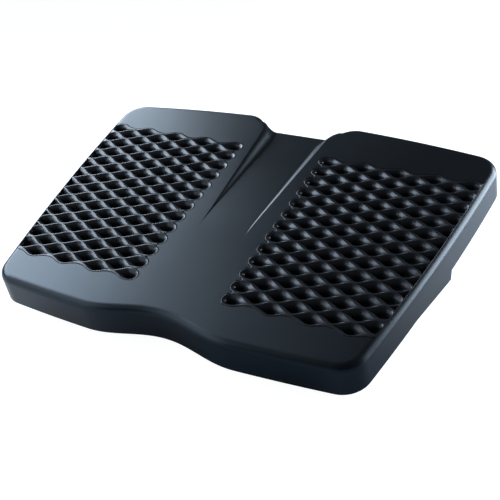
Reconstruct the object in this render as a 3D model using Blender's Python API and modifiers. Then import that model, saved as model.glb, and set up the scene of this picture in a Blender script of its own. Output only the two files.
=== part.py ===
# Two-lobed tilting footrest, all lengths in metres.
# World frame: X to the right, Y to the back, Z up, origin on the floor under the middle.
# Platform frame: its origin is the middle of the flat top, Z is square to that top.
import math

import bmesh
import bpy
from mathutils import Matrix, Vector

# Platform pose
TILT = math.radians(20.0)
TOP_MIDDLE = Vector((0.0, -0.01417, 0.097))
PIVOT_Y = 0.012
PIVOT_Z = -0.0285

# Platform outline
HALF_WIDTH = 0.2133
SIDE_SLOPE = 0.1107
SIDE_CURVE = 0.23
BACK_EDGE = 0.1735
BACK_BOW = 0.0130
FRONT_EDGE = 0.1580
FRONT_BOW = 0.0086
BOW_SPAN = 0.1896
NOTCH_DEPTH = 0.0145
NOTCH_HALF = 0.080
REAR_CORNER = 0.027
FRONT_CORNER = 0.025
REAR_ARC = (-3.0, 82.4)
FRONT_ARC = (-9.7, -84.8)
SADDLE_EDGE = 0.159
LOBE_CORNER = 0.025
LOBE_CORNER_X = 0.0670
LOBE_CORNER_Y = 0.1469
TOP_ROUND = 0.0076
SKIRT_DEPTH = 0.032
SKIRT_FLARE = 0.0008
WALL = 0.003

# Channel between the lobes
CHANNEL_START = -0.0076
CHANNEL_FALL = 0.0104 / 0.1666
CHANNEL_FLOOR_HALF = 0.026
CHANNEL_TOP_START = 0.027
CHANNEL_TOP_GROWTH = 0.0135 / 0.1666
CHANNEL_END_ROUND = 0.005

# Tread lattice
ROW_PITCH = 0.0178
COLUMN_PITCH = 0.038
FULL_ROWS = 13
FIRST_COLUMN = 0.057
CELL_HALF_LENGTH = 0.0165
CELL_HALF_HEIGHT = 0.0063
SLOT_END_X = 0.0473
SLOT_END_RADIUS = 0.0060
TREAD_DEPTH = 0.0135
TREAD_RIM = 0.0016
TREAD_SIDE_INSET = 0.0050
CELL_SIDE_INSET = 0.0072
CELL_TAPER = 0.60
FLANGE_TOP = -0.0033
FLANGE_BOTTOM = -0.0058
FLANGE_INNER_X = 0.0425
FLANGE_END_Y = 0.1185

GAP = 0.0003

# Support beams under the treads
BEAM_X = 0.157
BEAM_HALF = 0.022
BEAM_WALL = 0.003
BEAM_TOP = -0.0138
BEAM_PLATE = 0.0025
BEAM_END = 0.131
BEAM_SCREW_Y = 0.125
BEAM_SCREW_SPREAD = 0.010

# Posts, shaft and towers
SHAFT_RADIUS = 0.005
SHAFT_END = 0.182
POST_X = 0.157
POST_HALF_X = 0.0182
POST_HALF_Y = 0.0212
POST_BOTTOM = 0.0053
NECK_HALF_X = 0.015
EYE_RADIUS = 0.0105
TOWER_TOP = 0.051
TOWER_HALF_Y = 0.027
TOWER_INNER = 0.133
NOTCH_STEP = 0.013
DETENT_HEIGHT = 0.037

# Base legs and cross bars
LEG_INNER = 0.155
LEG_OUTER = 0.181
LEG_FRONT = -0.114
LEG_REAR = 0.145
LEG_BOTTOM = 0.003
LEG_TOP = 0.021
BAR_WIDTH = 0.022
BAR_TOP = 0.017

SCREW_RADIUS = 0.0015
PILOT_RADIUS = 0.0018

for leftover in list(bpy.data.objects):
    bpy.data.objects.remove(leftover, do_unlink=True)

parts = bpy.data.collections.new("footrest")
cutters = bpy.data.collections.new("cutters")
bpy.context.scene.collection.children.link(parts)
bpy.context.scene.collection.children.link(cutters)


def make_material(name, colour, roughness, metallic=0.0):
    made = bpy.data.materials.new(name)
    made.use_nodes = True
    shader = made.node_tree.nodes["Principled BSDF"]
    shader.inputs["Base Color"].default_value = (*colour, 1.0)
    shader.inputs["Roughness"].default_value = roughness
    shader.inputs["Metallic"].default_value = metallic
    made.diffuse_color = (*colour, 1.0)
    return made


shell_plastic = (0.020, 0.024, 0.032)
black_plastic = (0.012, 0.013, 0.015)
bright_steel = (0.56, 0.56, 0.55)
spring_steel = (0.40, 0.40, 0.42)
foot_rubber = (0.016, 0.016, 0.016)


def empty(name, location, tilt=0.0):
    made = bpy.data.objects.new(name, None)
    made.location = location
    made.rotation_euler = (tilt, 0.0, 0.0)
    parts.objects.link(made)
    return made


def place(name, bm, colour, roughness, metallic=0.0, parent=None, location=(0, 0, 0), smooth=False):
    """Turn a finished shape into one named piece with its own material."""
    bmesh.ops.recalc_face_normals(bm, faces=bm.faces)
    mesh = bpy.data.meshes.new(name)
    bm.to_mesh(mesh)
    bm.free()
    for face in mesh.polygons:
        face.use_smooth = smooth
    mesh.materials.append(make_material(name + "_finish", colour, roughness, metallic))
    made = bpy.data.objects.new(name, mesh)
    made.location = location
    made.parent = parent
    parts.objects.link(made)
    return made


def change(target, bm, operation="DIFFERENCE"):
    """Cut the shape out of the target piece, or join it on."""
    bmesh.ops.recalc_face_normals(bm, faces=bm.faces)
    number = len(target.modifiers)
    name = target.name + "_tool_" + str(number)
    mesh = bpy.data.meshes.new(name)
    bm.to_mesh(mesh)
    bm.free()
    tool = bpy.data.objects.new(name, mesh)
    tool.location = target.location
    tool.parent = target.parent
    tool.display_type = "WIRE"
    tool.hide_render = True
    cutters.objects.link(tool)
    step = target.modifiers.new(name, "BOOLEAN")
    step.operation = operation
    step.solver = "EXACT"
    step.object = tool
    return tool


def prism(bm, points, low, high, taper=1.0, axis="Z", flare=0.0):
    """Extrude a flat outline from high to low along one axis; taper scales the low end."""
    middle = Vector((sum(p[0] for p in points), sum(p[1] for p in points))) / len(points)
    lower = offset_outline(points, flare) if flare else points

    def at(u, v, w):
        if axis == "X":
            return Vector((w, u, v))
        if axis == "Y":
            return Vector((u, w, v))
        return Vector((u, v, w))

    corners = [bm.verts.new(at(p[0], p[1], high)) for p in points]
    face = bm.faces.new(corners)
    grown = bmesh.ops.extrude_face_region(bm, geom=[face], use_keep_orig=True)
    new_verts = [item for item in grown["geom"] if isinstance(item, bmesh.types.BMVert)]
    moves = {}
    for point, target in zip(points, lower):
        away = Vector(target) - middle
        moves[at(point[0], point[1], high).to_tuple(6)] = middle + away * taper
    for vert in new_verts:
        u, v = moves[vert.co.to_tuple(6)]
        vert.co = at(u, v, low)
    return corners


def box(bm, x0, x1, y0, y1, z0, z1, edge=0.0):
    """Rectangular block between six planes, its edges eased when edge is given."""
    size = Vector((x1 - x0, y1 - y0, z1 - z0))
    middle = Vector((x0 + x1, y0 + y1, z0 + z1)) / 2
    scale = Matrix.Diagonal((abs(size.x), abs(size.y), abs(size.z), 1.0))
    made = bmesh.ops.create_cube(bm, size=1.0, matrix=Matrix.Translation(middle) @ scale)
    if edge:
        edges = {e for v in made["verts"] for e in v.link_edges}
        bmesh.ops.bevel(bm, geom=list(edges), offset=edge, segments=1, affect="EDGES")


def cylinder(bm, radius, start, end, segments=20):
    """Solid cylinder between two points."""
    start = Vector(start)
    end = Vector(end)
    turn = (end - start).to_track_quat("Z", "Y").to_matrix().to_4x4()
    matrix = Matrix.Translation((start + end) / 2) @ turn
    bmesh.ops.create_cone(bm, cap_ends=True, segments=segments, radius1=radius,
                          radius2=radius, depth=(end - start).length, matrix=matrix)


def turned(name, profile, colour, roughness, metallic, parent, location, along, steps=20, closed=False):
    """Piece turned about the axis 'along'; the profile runs down its outer side."""
    mesh = bpy.data.meshes.new(name)
    edges = [(i, i + 1) for i in range(len(profile) - 1)]
    if closed:
        edges.append((len(profile) - 1, 0))
    mesh.from_pydata([(r, 0.0, h) for r, h in profile], edges, [])
    mesh.materials.append(make_material(name + "_finish", colour, roughness, metallic))
    made = bpy.data.objects.new(name, mesh)
    spin = made.modifiers.new("turn", "SCREW")
    spin.axis = "Z"
    spin.angle = math.tau
    spin.steps = steps
    spin.render_steps = steps
    spin.use_merge_vertices = True
    spin.merge_threshold = 0.00005
    spin.use_smooth_shade = True
    made.location = location
    made.rotation_euler = Vector(along).to_track_quat("Z", "Y").to_euler()
    made.parent = parent
    parts.objects.link(made)
    return made


def arc(middle, radius, start, end, count):
    """Points on an arc, angles in degrees."""
    found = []
    for i in range(count):
        angle = math.radians(start + (end - start) * i / (count - 1))
        found.append((middle[0] + radius * math.cos(angle), middle[1] + radius * math.sin(angle)))
    return found


def spaced(start, end, count):
    return [start + (end - start) * i / (count - 1) for i in range(count)]


def offset_outline(points, distance):
    """Move a counter-clockwise outline outwards by a distance, corners mitred."""
    found = []
    count = len(points)
    for i in range(count):
        before = Vector(points[i]) - Vector(points[i - 1])
        after = Vector(points[(i + 1) % count]) - Vector(points[i])
        before.normalize()
        after.normalize()
        normal_before = Vector((before.y, -before.x))
        normal_after = Vector((after.y, -after.x))
        mean = (normal_before + normal_after).normalized()
        reach = distance / max(0.5, mean.dot(normal_after))
        found.append((points[i][0] + mean.x * reach, points[i][1] + mean.y * reach))
    return found


def half_width(y):
    return HALF_WIDTH + SIDE_SLOPE * y - SIDE_CURVE * y * y


def back_edge(x):
    return BACK_EDGE - BACK_BOW * (x / BOW_SPAN) ** 2


def front_edge(x):
    notch = 0.0
    if abs(x) < NOTCH_HALF:
        notch = NOTCH_DEPTH * (0.5 + 0.5 * math.cos(math.pi * x / NOTCH_HALF))
    return -FRONT_EDGE + FRONT_BOW * (x / BOW_SPAN) ** 2 + notch


def corner_middle(edge, radius, angles):
    """Middle of a corner arc that meets the side and the front or back edge smoothly."""
    on_side, on_edge = (math.radians(angle) for angle in angles)
    x = HALF_WIDTH
    for _ in range(40):
        y = edge(x + radius * math.cos(on_edge)) - radius * math.sin(on_edge)
        x = half_width(y + radius * math.sin(on_side)) - radius * math.cos(on_side)
    return x, y


def platform_outline():
    """Whole plan outline, counter-clockwise."""
    rise = SADDLE_EDGE - LOBE_CORNER_Y
    start = 180.0 - math.degrees(math.asin(rise / LOBE_CORNER))
    right = [(0.0, SADDLE_EDGE)]
    right += arc((LOBE_CORNER_X, LOBE_CORNER_Y), LOBE_CORNER, start, 87.2, 8)
    rear_x, rear_y = corner_middle(back_edge, REAR_CORNER, REAR_ARC)
    right += [(x, back_edge(x)) for x in spaced(LOBE_CORNER_X + 0.008, rear_x - 0.006, 6)]
    right += arc((rear_x, rear_y), REAR_CORNER, REAR_ARC[1], REAR_ARC[0], 8)
    front_x, front_y = corner_middle(front_edge, FRONT_CORNER, FRONT_ARC)
    right += [(half_width(y), y) for y in spaced(rear_y, front_y - 0.004, 9)[1:-1]]
    right += arc((front_x, front_y), FRONT_CORNER, FRONT_ARC[0], FRONT_ARC[1], 8)
    right += [(x, front_edge(x)) for x in spaced(front_x - 0.008, NOTCH_HALF, 4)]
    right += [(x, front_edge(x)) for x in spaced(NOTCH_HALF, 0.0, 10)[1:]]
    left = [(-x, y) for x, y in right[1:-1]]
    return right[::-1] + left


def channel_depth(y):
    return (y - CHANNEL_START) * CHANNEL_FALL


def channel_half(y):
    return CHANNEL_TOP_START + (y - CHANNEL_START) * CHANNEL_TOP_GROWTH


def channel_tool():
    """Space above the sunken floor: cross sections joined from front to back."""
    bm = bmesh.new()
    stations = [(y, channel_depth(y), channel_half(y)) for y in
                (CHANNEL_START - 0.010, 0.020, 0.060, 0.100, 0.135)]
    round_start = SADDLE_EDGE - CHANNEL_END_ROUND
    for angle in (0.0, 27.0, 54.0, 80.0):
        turn = math.radians(angle)
        y = round_start + CHANNEL_END_ROUND * math.sin(turn)
        drop = CHANNEL_END_ROUND * (1.0 - math.cos(turn))
        stations.append((y, channel_depth(y) + drop, channel_half(y)))
    last_y, last_depth, last_half = stations[-1]
    stations.append((last_y + 0.0015, last_depth + 0.0015 / math.tan(math.radians(10.0)), last_half))
    rings = []
    for y, depth, half in stations:
        right = [(0.0, -depth)]
        for t in (0.0, 0.22, 0.41, 0.59, 0.78, 1.0):
            ease = t * t * (3.0 - 2.0 * t)
            x = CHANNEL_FLOOR_HALF + (half - CHANNEL_FLOOR_HALF) * t
            right.append((x, -depth + (max(depth, 0.0) + 0.00005) * ease))
        right.append((half + 0.004, 0.006))
        section = right + [(-x, z) for x, z in right[:0:-1]]
        rings.append([bm.verts.new((x, y, z)) for x, z in section])
    count = len(rings[0])
    for near, far in zip(rings, rings[1:]):
        for i in range(count):
            j = (i + 1) % count
            bm.faces.new((near[i], near[j], far[j], far[i]))
    bm.faces.new(rings[0])
    bm.faces.new(rings[-1])
    return bm


def tread_outline():
    """Scalloped edge of the right tread, counter-clockwise from its front inner end."""
    last_row = ROW_PITCH * (FULL_ROWS // 2)
    rim = CELL_HALF_HEIGHT + TREAD_RIM
    shares = ((0.0, 1.0), (4.5, 0.93), (11.5, 0.56), (19.0, 0.38), (26.5, 0.56), (33.5, 0.93))
    scallops = []
    for column in range(5):
        for step, share in shares:
            x = FIRST_COLUMN + column * COLUMN_PITCH + step / 1000.0
            scallops.append((x, last_row + rim * share))
    front = []
    for x, y in scallops:
        if x < half_width(-y) - TREAD_SIDE_INSET - 0.002:
            front.append((x, -y))
    back = []
    for x, y in scallops:
        if x < half_width(y) - TREAD_SIDE_INSET - 0.002:
            back.append((x, y))
    end_front = front[-1][1]
    end_back = back[-1][1]
    side = [(half_width(y) - TREAD_SIDE_INSET, y) for y in spaced(end_front, end_back, 9)]
    inner = []
    end_middle = SLOT_END_X + SLOT_END_RADIUS
    end_radius = SLOT_END_RADIUS + TREAD_RIM
    for row in range(FULL_ROWS // 2, -(FULL_ROWS // 2) - 1, -1):
        y = row * ROW_PITCH
        inner += arc((end_middle, y), end_radius, 108.0, 252.0, 5)
        if row > -(FULL_ROWS // 2):
            inner.append((end_middle + 0.003, y - ROW_PITCH / 2))
    return front + side + back[::-1] + inner


def clipped(points, y_middle):
    """Part of a cell that lies inside the side limit of the treads."""
    slope = SIDE_SLOPE - 2.0 * SIDE_CURVE * y_middle
    limit = half_width(y_middle) - CELL_SIDE_INSET

    def room(p):
        return limit + slope * (p[1] - y_middle) - p[0]

    found = []
    for i, point in enumerate(points):
        following = points[(i + 1) % len(points)]
        if room(point) >= 0.0:
            found.append(point)
        if room(point) * room(following) < 0.0:
            share = room(point) / (room(point) - room(following))
            found.append((point[0] + (following[0] - point[0]) * share,
                          point[1] + (following[1] - point[1]) * share))
    return found


def lens(x, y):
    """Leaf-shaped cell, counter-clockwise."""
    stations = ((-1.0, 0.0), (-0.5, 0.58), (0.0, 1.0), (0.5, 0.58), (1.0, 0.0))
    lower = [(x + CELL_HALF_LENGTH * u, y - CELL_HALF_HEIGHT * v) for u, v in stations]
    upper = [(x + CELL_HALF_LENGTH * u, y + CELL_HALF_HEIGHT * v) for u, v in stations[1:-1]]
    return lower + upper[::-1]


def slot(y):
    """Cell of the first column, round at its inner end."""
    middle = SLOT_END_X + SLOT_END_RADIUS
    tail = ((0.30, 0.90), (0.58, 0.46), (1.0, 0.0))
    lower = [(FIRST_COLUMN + CELL_HALF_LENGTH * u, y - CELL_HALF_HEIGHT * v) for u, v in tail]
    upper = [(px, 2.0 * y - py) for px, py in lower[:-1]]
    return arc((middle, y), SLOT_END_RADIUS, 94.0, 266.0, 5) + lower + upper[::-1]


def tread_cells():
    cells = []
    reach = FULL_ROWS // 2
    for row in range(-reach, reach + 1):
        y = row * ROW_PITCH
        cells.append(slot(y))
        for column in range(1, 5):
            cells.append(clipped(lens(FIRST_COLUMN + column * COLUMN_PITCH, y), y))
    for row in range(-reach, reach):
        y = (row + 0.5) * ROW_PITCH
        for column in range(4):
            cells.append(clipped(lens(FIRST_COLUMN + (column + 0.5) * COLUMN_PITCH, y), y))
    kept = []
    for cell in cells:
        if len(cell) > 2 and max(p[0] for p in cell) - min(p[0] for p in cell) > 0.006:
            kept.append(cell)
    return kept


def mirrored(points, side):
    if side > 0:
        return points
    return [(-x, y) for x, y in points[::-1]]


def rounded_body():
    """Outline extruded to the skirt's depth with its top edge rounded."""
    bm = bmesh.new()
    top = prism(bm, platform_outline(), -SKIRT_DEPTH, 0.0, flare=SKIRT_FLARE)
    bmesh.ops.recalc_face_normals(bm, faces=bm.faces)
    edges = [e for e in bm.edges if e.verts[0] in top and e.verts[1] in top]
    bmesh.ops.bevel(bm, geom=edges, offset=TOP_ROUND, segments=3, profile=0.5, affect="EDGES")
    return bm


def screw_profile(head_radius, head, length):
    """Screw with a flat head: head from 0 down to -head is at the low end."""
    chamfer = 0.0004
    return [(0.0, length), (SCREW_RADIUS - chamfer, length), (SCREW_RADIUS, length - 0.0008),
            (SCREW_RADIUS, 0.0), (head_radius, 0.0), (head_radius, -head + chamfer),
            (head_radius - chamfer, -head), (0.0, -head)]


# Platform: shell, treads, beams and their screws ride on the tilt axis
turn = Matrix.Rotation(TILT, 3, "X")
pivot_world = TOP_MIDDLE + turn @ Vector((0.0, PIVOT_Y, PIVOT_Z))
tilt_axis = empty("platform_tilt_axis", pivot_world, TILT)
in_platform = Vector((0.0, -PIVOT_Y, -PIVOT_Z))

shell = place("platform_shell", rounded_body(), shell_plastic, 0.36, parent=tilt_axis, location=in_platform)

hollow = bmesh.new()
rim = prism(hollow, offset_outline(platform_outline(), -WALL), -SKIRT_DEPTH - 0.004, -WALL)
bmesh.ops.recalc_face_normals(hollow, faces=hollow.faces)
rim_edges = [e for e in hollow.edges if e.verts[0] in rim and e.verts[1] in rim]
bmesh.ops.bevel(hollow, geom=rim_edges, offset=WALL, segments=1, affect="EDGES")
change(shell, hollow)

# The channel keeps a full wall under its sunken floor
skin = bmesh.new()
for y in (CHANNEL_START + 0.004, SADDLE_EDGE - 0.0015):
    half = channel_half(y) + WALL
    for x in (-half, half):
        for z in (-0.0015, -channel_depth(y) - WALL):
            skin.verts.new((x, y, z))
bmesh.ops.convex_hull(skin, input=skin.verts)
change(shell, skin, "UNION")
change(shell, channel_tool())

for side in (1, -1):
    window = bmesh.new()
    prism(window, mirrored(offset_outline(tread_outline(), GAP), side), -0.008, 0.002)
    change(shell, window)

bosses = bmesh.new()
pilots = bmesh.new()
for x in (BEAM_X - BEAM_SCREW_SPREAD, BEAM_X + BEAM_SCREW_SPREAD):
    for side in (1, -1):
        for y in (-BEAM_SCREW_Y, BEAM_SCREW_Y):
            cylinder(bosses, 0.0042, (x * side, y, -0.0015), (x * side, y, BEAM_TOP + GAP), 12)
            cylinder(pilots, PILOT_RADIUS, (x * side, y, -0.0034), (x * side, y, BEAM_TOP - 0.002), 10)
change(shell, bosses, "UNION")
change(shell, pilots)

cells = tread_cells()
for side, word in ((1, "right"), (-1, "left")):
    bm = bmesh.new()
    prism(bm, mirrored(tread_outline(), side), -TREAD_DEPTH, 0.0)
    tread = place(word + "_tread", bm, black_plastic, 0.30, parent=tilt_axis, location=in_platform)
    flange = bmesh.new()
    edge = [(FLANGE_INNER_X, FLANGE_END_Y), (FLANGE_INNER_X, -FLANGE_END_Y)]
    for y in spaced(-FLANGE_END_Y, FLANGE_END_Y, 7):
        edge.append((half_width(y) - TREAD_SIDE_INSET - 0.002, y))
    prism(flange, mirrored(edge, side), FLANGE_BOTTOM, FLANGE_TOP)
    change(tread, flange, "UNION")
    openings = bmesh.new()
    for cell in cells:
        prism(openings, mirrored(cell, side), -TREAD_DEPTH - 0.001, 0.001, taper=CELL_TAPER)
    change(tread, openings)
    change(tread, rounded_body(), "INTERSECT")

    beam_side = []
    for y, z in ((-BEAM_END, BEAM_TOP), (-BEAM_END, -0.021), (PIVOT_Y - 0.016, -0.0385),
                 (PIVOT_Y + 0.016, -0.0385), (BEAM_END, -0.021), (BEAM_END, BEAM_TOP)):
        beam_side.append((y, z))
    bm = bmesh.new()
    x_low, x_high = sorted((side * (BEAM_X - BEAM_HALF), side * (BEAM_X + BEAM_HALF)))
    prism(bm, beam_side, x_low, x_high, axis="X")
    beam = place(word + "_pivot_beam", bm, black_plastic, 0.45, parent=tilt_axis, location=in_platform)
    trough = bmesh.new()
    box(trough, x_low + BEAM_WALL, x_high - BEAM_WALL, -0.2, 0.2, -0.06, BEAM_TOP - BEAM_PLATE)
    change(beam, trough)
    bores = bmesh.new()
    cylinder(bores, SHAFT_RADIUS + GAP, (x_low - 0.005, PIVOT_Y, PIVOT_Z), (x_high + 0.005, PIVOT_Y, PIVOT_Z), 24)
    for x in (x_low + 0.012, x_high - 0.012):
        for y in (-BEAM_SCREW_Y, BEAM_SCREW_Y):
            cylinder(bores, PILOT_RADIUS, (x, y, -0.035), (x, y, 0.0), 10)
    change(beam, bores)
    number = 0
    for x in (BEAM_X - BEAM_SCREW_SPREAD, BEAM_X + BEAM_SCREW_SPREAD):
        for y in (-BEAM_SCREW_Y, BEAM_SCREW_Y):
            number += 1
            seat = Vector((x * side, y, BEAM_TOP - BEAM_PLATE - GAP))
            turned(word + "_beam_screw_" + str(number), screw_profile(0.0034, 0.0020, 0.0078),
                   bright_steel, 0.32, 1.0, tilt_axis, in_platform + seat, (0, 0, 1), 12)

# Carriage: shaft, posts, washers and rings rise together
lift_axis = empty("height_lift_axis", (0.0, pivot_world.y, pivot_world.z))
axis_y = pivot_world.y
axis_z = pivot_world.z
ease = 0.0006
turned("pivot_shaft", [(0.0, SHAFT_END), (SHAFT_RADIUS - ease, SHAFT_END), (SHAFT_RADIUS, SHAFT_END - ease),
                       (SHAFT_RADIUS, -SHAFT_END + ease), (SHAFT_RADIUS - ease, -SHAFT_END), (0.0, -SHAFT_END)],
       bright_steel, 0.28, 1.0, lift_axis, (0, 0, 0), (1, 0, 0), 24)

for side, word in ((1, "right"), (-1, "left")):
    bm = bmesh.new()
    low_x, high_x = sorted((side * (POST_X - POST_HALF_X), side * (POST_X + POST_HALF_X)))
    down = axis_z
    box(bm, low_x, high_x, -POST_HALF_Y, POST_HALF_Y, POST_BOTTOM - down, TOWER_TOP + GAP + 0.001 - down)
    post = place(word + "_post", bm, black_plastic, 0.42, parent=lift_axis)
    shoulder = bmesh.new()
    box(shoulder, low_x, high_x, -0.0238, 0.0238, TOWER_TOP + GAP - down, TOWER_TOP + GAP + 0.0035 - down)
    change(post, shoulder, "UNION")
    neck = bmesh.new()
    neck_side = [(-EYE_RADIUS, TOWER_TOP + 0.002 - down), (EYE_RADIUS, TOWER_TOP + 0.002 - down)]
    neck_side += arc((0.0, 0.0), EYE_RADIUS, 0.0, 180.0, 13)
    neck_low, neck_high = sorted((side * (POST_X - NECK_HALF_X), side * (POST_X + NECK_HALF_X)))
    prism(neck, neck_side, neck_low, neck_high, axis="X")
    change(post, neck, "UNION")
    removed = bmesh.new()
    box(removed, low_x + 0.0042, high_x - 0.0042, -0.017, 0.017, -0.1, 0.0462 - down)
    cylinder(removed, SHAFT_RADIUS + GAP, (low_x - 0.005, 0, 0), (high_x + 0.005, 0, 0), 24)
    for step in range(3):
        z = DETENT_HEIGHT - step * NOTCH_STEP - down
        face = side * (POST_X - POST_HALF_X)
        shape = [(face - side * 0.001, z - 0.0050), (face + side * 0.0026, z - 0.0028),
                 (face + side * 0.0026, z + 0.0028), (face - side * 0.001, z + 0.0050)]
        prism(removed, shape, -0.0063, 0.0063, axis="Y")
    change(post, removed)
    for number, x in ((1, POST_X - NECK_HALF_X - 0.002), (2, POST_X + NECK_HALF_X + 0.002)):
        turned(word + "_friction_washer_" + str(number),
               [(0.009, 0.0017), (0.009, -0.0017), (SHAFT_RADIUS + GAP, -0.0017), (SHAFT_RADIUS + GAP, 0.0017)],
               (0.05, 0.05, 0.052), 0.6, 0.0, lift_axis, (side * x, 0, 0), (1, 0, 0), 20, closed=True)
    turned(word + "_retaining_ring",
           [(0.0085, 0.0008), (0.0085, -0.0008), (SHAFT_RADIUS + GAP, -0.0008), (SHAFT_RADIUS + GAP, 0.0008)],
           spring_steel, 0.3, 1.0, lift_axis, (side * 0.1802, 0, 0), (1, 0, 0), 20, closed=True)

# Base: legs with guide towers, cross bars, feet, springs and screws
bar_spots = ((-0.093, "front"), (LEG_REAR - BAR_WIDTH / 2, "rear"))
foot_spots = ((-0.094, "front"), (0.125, "rear"))
leg_side = [(axis_y - TOWER_HALF_Y, TOWER_TOP), (axis_y - TOWER_HALF_Y, 0.038), (axis_y - 0.043, LEG_TOP),
            (-0.1090, LEG_TOP), (LEG_FRONT, 0.0155), (LEG_FRONT, LEG_BOTTOM), (LEG_REAR, LEG_BOTTOM),
            (LEG_REAR, 0.0155), (0.1400, LEG_TOP), (axis_y + 0.043, LEG_TOP),
            (axis_y + TOWER_HALF_Y, 0.038), (axis_y + TOWER_HALF_Y, TOWER_TOP)]
for side, word in ((1, "right"), (-1, "left")):
    tower = bmesh.new()
    tower_low, tower_high = sorted((side * TOWER_INNER, side * (LEG_OUTER - 0.002)))
    box(tower, tower_low, tower_high, axis_y - TOWER_HALF_Y + 0.0005, axis_y + TOWER_HALF_Y - 0.0005,
        LEG_BOTTOM + 0.0030, TOWER_TOP - 0.0005, 0.0012)
    leg = place(word + "_leg", tower, black_plastic, 0.40)
    rail = bmesh.new()
    low_x, high_x = sorted((side * LEG_INNER, side * LEG_OUTER))
    prism(rail, leg_side, low_x, high_x, axis="X")
    change(leg, rail, "UNION")
    removed = bmesh.new()
    hole_low, hole_high = sorted((side * (POST_X - POST_HALF_X - GAP), side * (POST_X + POST_HALF_X + GAP)))
    box(removed, hole_low, hole_high, axis_y - POST_HALF_Y - GAP, axis_y + POST_HALF_Y + GAP, 0.0, 0.06)
    window_low, window_high = sorted((side * (TOWER_INNER - 0.002), side * (TOWER_INNER + 0.008)))
    box(removed, window_low, window_high, axis_y - 0.006, axis_y + 0.006, 0.0255, 0.0483)
    change(leg, removed)
    holes = bmesh.new()
    cylinder(holes, PILOT_RADIUS, (side * (TOWER_INNER - 0.002), axis_y, 0.013),
             (side * (TOWER_INNER + 0.008), axis_y, 0.013), 10)
    for y, _ in bar_spots:
        pocket_low, pocket_high = sorted((side * (LEG_INNER - 0.002), side * 0.1683))
        box(holes, pocket_low, pocket_high, y - 0.0063, y + 0.0063, 0.0067, 0.0153)
    change(leg, holes)
    counterbores = bmesh.new()
    for y, _ in bar_spots:
        cylinder(counterbores, 0.0038, (side * 0.1615, y, 0.0180), (side * 0.1615, y, 0.0230), 14)
    for y, _ in foot_spots:
        box(counterbores, *sorted((side * 0.1577, side * 0.1783)), y - 0.0163, y + 0.0163, 0.0, 0.004)
    change(leg, counterbores)
    seats = bmesh.new()
    for y, _ in bar_spots:
        cylinder(seats, PILOT_RADIUS + GAP, (side * 0.1615, y, 0.010), (side * 0.1615, y, 0.0195), 12)
    change(leg, seats)
    for y, spot in foot_spots:
        bm = bmesh.new()
        box(bm, *sorted((side * 0.158, side * 0.178)), y - 0.016, y + 0.016, 0.0, 0.0037, 0.0006)
        place(spot + "_" + word + "_foot", bm, foot_rubber, 0.85)
    for y, spot in bar_spots:
        turned(spot + "_" + word + "_bar_screw", screw_profile(0.0034, 0.0022, 0.0098),
               bright_steel, 0.32, 1.0, None, (side * 0.1615, y, 0.0183), (0, 0, -1), 12)

    # Detent spring: a bent strip, its nose in the post's notch and its tail a finger tab
    face = TOWER_INNER - GAP - 0.0004
    course = [(face, 0.0070), (face, 0.0285), (face + 0.0074, 0.0355), (face + 0.0074, 0.0385),
              (face, 0.0455), (face, 0.0480), (face - 0.0080, 0.0535)]
    outer_side = []
    inner_side = []
    for i, point in enumerate(course):
        before = Vector(course[max(i - 1, 0)])
        after = Vector(course[min(i + 1, len(course) - 1)])
        here = Vector(point)
        first = (here - before).normalized() if i else (after - here).normalized()
        second = (after - here).normalized() if i < len(course) - 1 else first
        mean = (first + second).normalized()
        normal = Vector((mean.y, -mean.x))
        reach = 0.0004 / normal.dot(Vector((first.y, -first.x)))
        outer_side.append((here.x + normal.x * reach, here.y + normal.y * reach))
        inner_side.append((here.x - normal.x * reach, here.y - normal.y * reach))
    strip = [(side * x, z) for x, z in outer_side + inner_side[::-1]]
    bm = bmesh.new()
    prism(bm, strip, axis_y - 0.005, axis_y + 0.005, axis="Y")
    spring = place(word + "_detent_spring", bm, spring_steel, 0.3, 1.0)
    hole = bmesh.new()
    cylinder(hole, PILOT_RADIUS, (side * (face - 0.003), axis_y, 0.013), (side * (face + 0.003), axis_y, 0.013), 10)
    change(spring, hole)
    turned(word + "_spring_screw", screw_profile(0.0032, 0.0018, 0.0052), bright_steel, 0.32, 1.0, None,
           (side * (face - 0.0004 - GAP), axis_y, 0.013), (side, 0, 0), 12)

for y, spot in bar_spots:
    bm = bmesh.new()
    box(bm, -LEG_INNER + GAP, LEG_INNER - GAP, y - BAR_WIDTH / 2, y + BAR_WIDTH / 2, LEG_BOTTOM, BAR_TOP, 0.0015)
    bar = place(spot + "_cross_bar", bm, black_plastic, 0.40)
    tongues = bmesh.new()
    for side in (1, -1):
        box(tongues, *sorted((side * (LEG_INNER - 0.004), side * 0.168)), y - 0.006, y + 0.006, 0.007, 0.015)
    change(bar, tongues, "UNION")
    holes = bmesh.new()
    for side in (1, -1):
        cylinder(holes, PILOT_RADIUS, (side * 0.1615, y, 0.0080), (side * 0.1615, y, 0.0180), 10)
    change(bar, holes)
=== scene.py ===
# %% [markdown]
# # A tilting footrest with two lobes
# The object is an under-desk footrest in near-black moulded plastic. A wide thin shell with
# two lobes and a sunken channel between them carries two open lattices for the soles, and it
# tilts on a low frame with two legs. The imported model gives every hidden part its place, so
# this lesson makes the two surfaces that are seen most, the shell and the treads, finely, and
# gives every other part a finish of its own.

# %% load the frame
import math

import bmesh
import bpy
from mathutils import Matrix, Vector
from mathutils.geometry import delaunay_2d_cdt


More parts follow.
